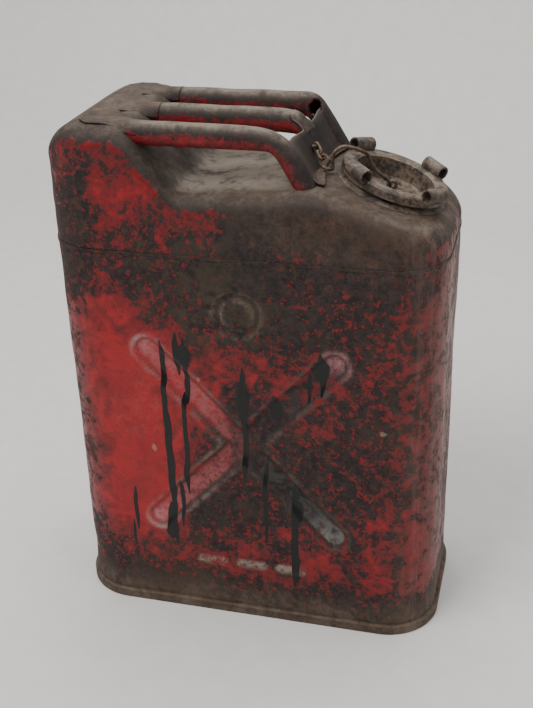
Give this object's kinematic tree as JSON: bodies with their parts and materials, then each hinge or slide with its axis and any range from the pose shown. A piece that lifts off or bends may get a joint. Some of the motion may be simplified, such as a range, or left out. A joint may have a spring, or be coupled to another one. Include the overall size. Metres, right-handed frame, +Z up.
{
  "type": "jerry can",
  "caption": "Narrow welded steel fuel can with a pressed cross on both broad faces, triple grip handle and a lugged screw cap on a chain.",
  "frame": {"origin": "centre of the footprint, on the surface the can stands on", "axes": "+Z up, +X towards the filler end, the can is narrow along Y"},
  "size_m": [0.3468, 0.1698, 0.4692],
  "materials": {
    "painted_body": "worn, grimy gloss enamel with rust",
    "painted_handle": "enamel worn through to brown steel",
    "bare_cap": "dull, oxidised pressed steel",
    "rusty_wire": "rusty steel wire",
    "weld": "painted weld bead",
    "gasket": "hardened black rubber"
  },
  "bodies": {
    "can": {"body_shell": "painted_body", "body_side_weld": "weld", "bottom_pan": "painted_body", "bottom_chime": "painted_body", "top_shell": "painted_body", "shoulder_weld": "weld", "handle_rear_plate": "painted_handle", "handle_bar_left": "painted_handle", "handle_bar_centre": "painted_handle", "handle_bar_right": "painted_handle", "handle_front_web": "painted_handle", "filler_neck": "bare_cap", "neck_weld": "weld", "chain_staple": "rusty_wire"},
    "gasket": {"cap_gasket": "gasket"},
    "swivel": {"cap_swivel_eye": "bare_cap", "cap_swivel_washer": "bare_cap"},
    "cap": {"cap_cup": "bare_cap", "cap_lug_plate": "bare_cap"},
    "wire": {"retainer_wire": "rusty_wire"},
    "link_upper": {"chain_link_upper": "rusty_wire"},
    "link_lower": {"chain_link_lower": "rusty_wire"},
    "ring": {"chain_ring": "rusty_wire"}
  },
  "joints": [
    {"name": "cap_lift", "type": "slide", "parent": "can", "child": "gasket", "axis": [0.3206, 0, 0.9472], "range_m": [0, 0.03]},
    {"name": "cap_rise", "type": "slide", "parent": "gasket", "child": "swivel", "axis": [0.3206, 0, 0.9472], "range_m": [0, 0.0075]},
    {"name": "cap_turn", "type": "hinge", "parent": "swivel", "child": "cap", "pos_m": [0.1195, 0, 0.4213], "axis": [0.3206, 0, 0.9472], "range_deg": [0, 540]},
    {"name": "wire_swing", "type": "hinge", "parent": "swivel", "child": "wire", "pos_m": [0.11501, 0, 0.40804], "axis": [0.324, -0.9397, -0.1097], "range_deg": [0, 14]},
    {"name": "link_upper_swing", "type": "hinge", "parent": "can", "child": "link_upper", "pos_m": [0.0526, -0.008, 0.4405], "axis": [-0.527, -0.8139, 0.2446], "range_deg": [0, 44.3]},
    {"name": "link_lower_swing", "type": "hinge", "parent": "link_upper", "child": "link_lower", "pos_m": [0.05624, -0.01158, 0.43644], "axis": [-0.527, -0.8139, 0.2446], "range_deg": [0, 3]},
    {"name": "ring_swing", "type": "hinge", "parent": "link_lower", "child": "ring", "pos_m": [0.05931, -0.01459, 0.43302], "axis": [-0.527, -0.8139, 0.2446], "range_deg": [-3, 0]}
  ],
  "couplings": [
    {"joint": "cap_rise", "follows": "cap_turn", "m_per_rad": 0.0007957},
    {"joint": "wire_swing", "follows": "cap_lift", "rad_per_m": 8.1441},
    {"joint": "link_upper_swing", "follows": "cap_lift", "rad_per_m": 25.77},
    {"joint": "link_lower_swing", "follows": "cap_lift", "rad_per_m": 1.7452},
    {"joint": "ring_swing", "follows": "cap_lift", "rad_per_m": -1.7452}
  ]
}
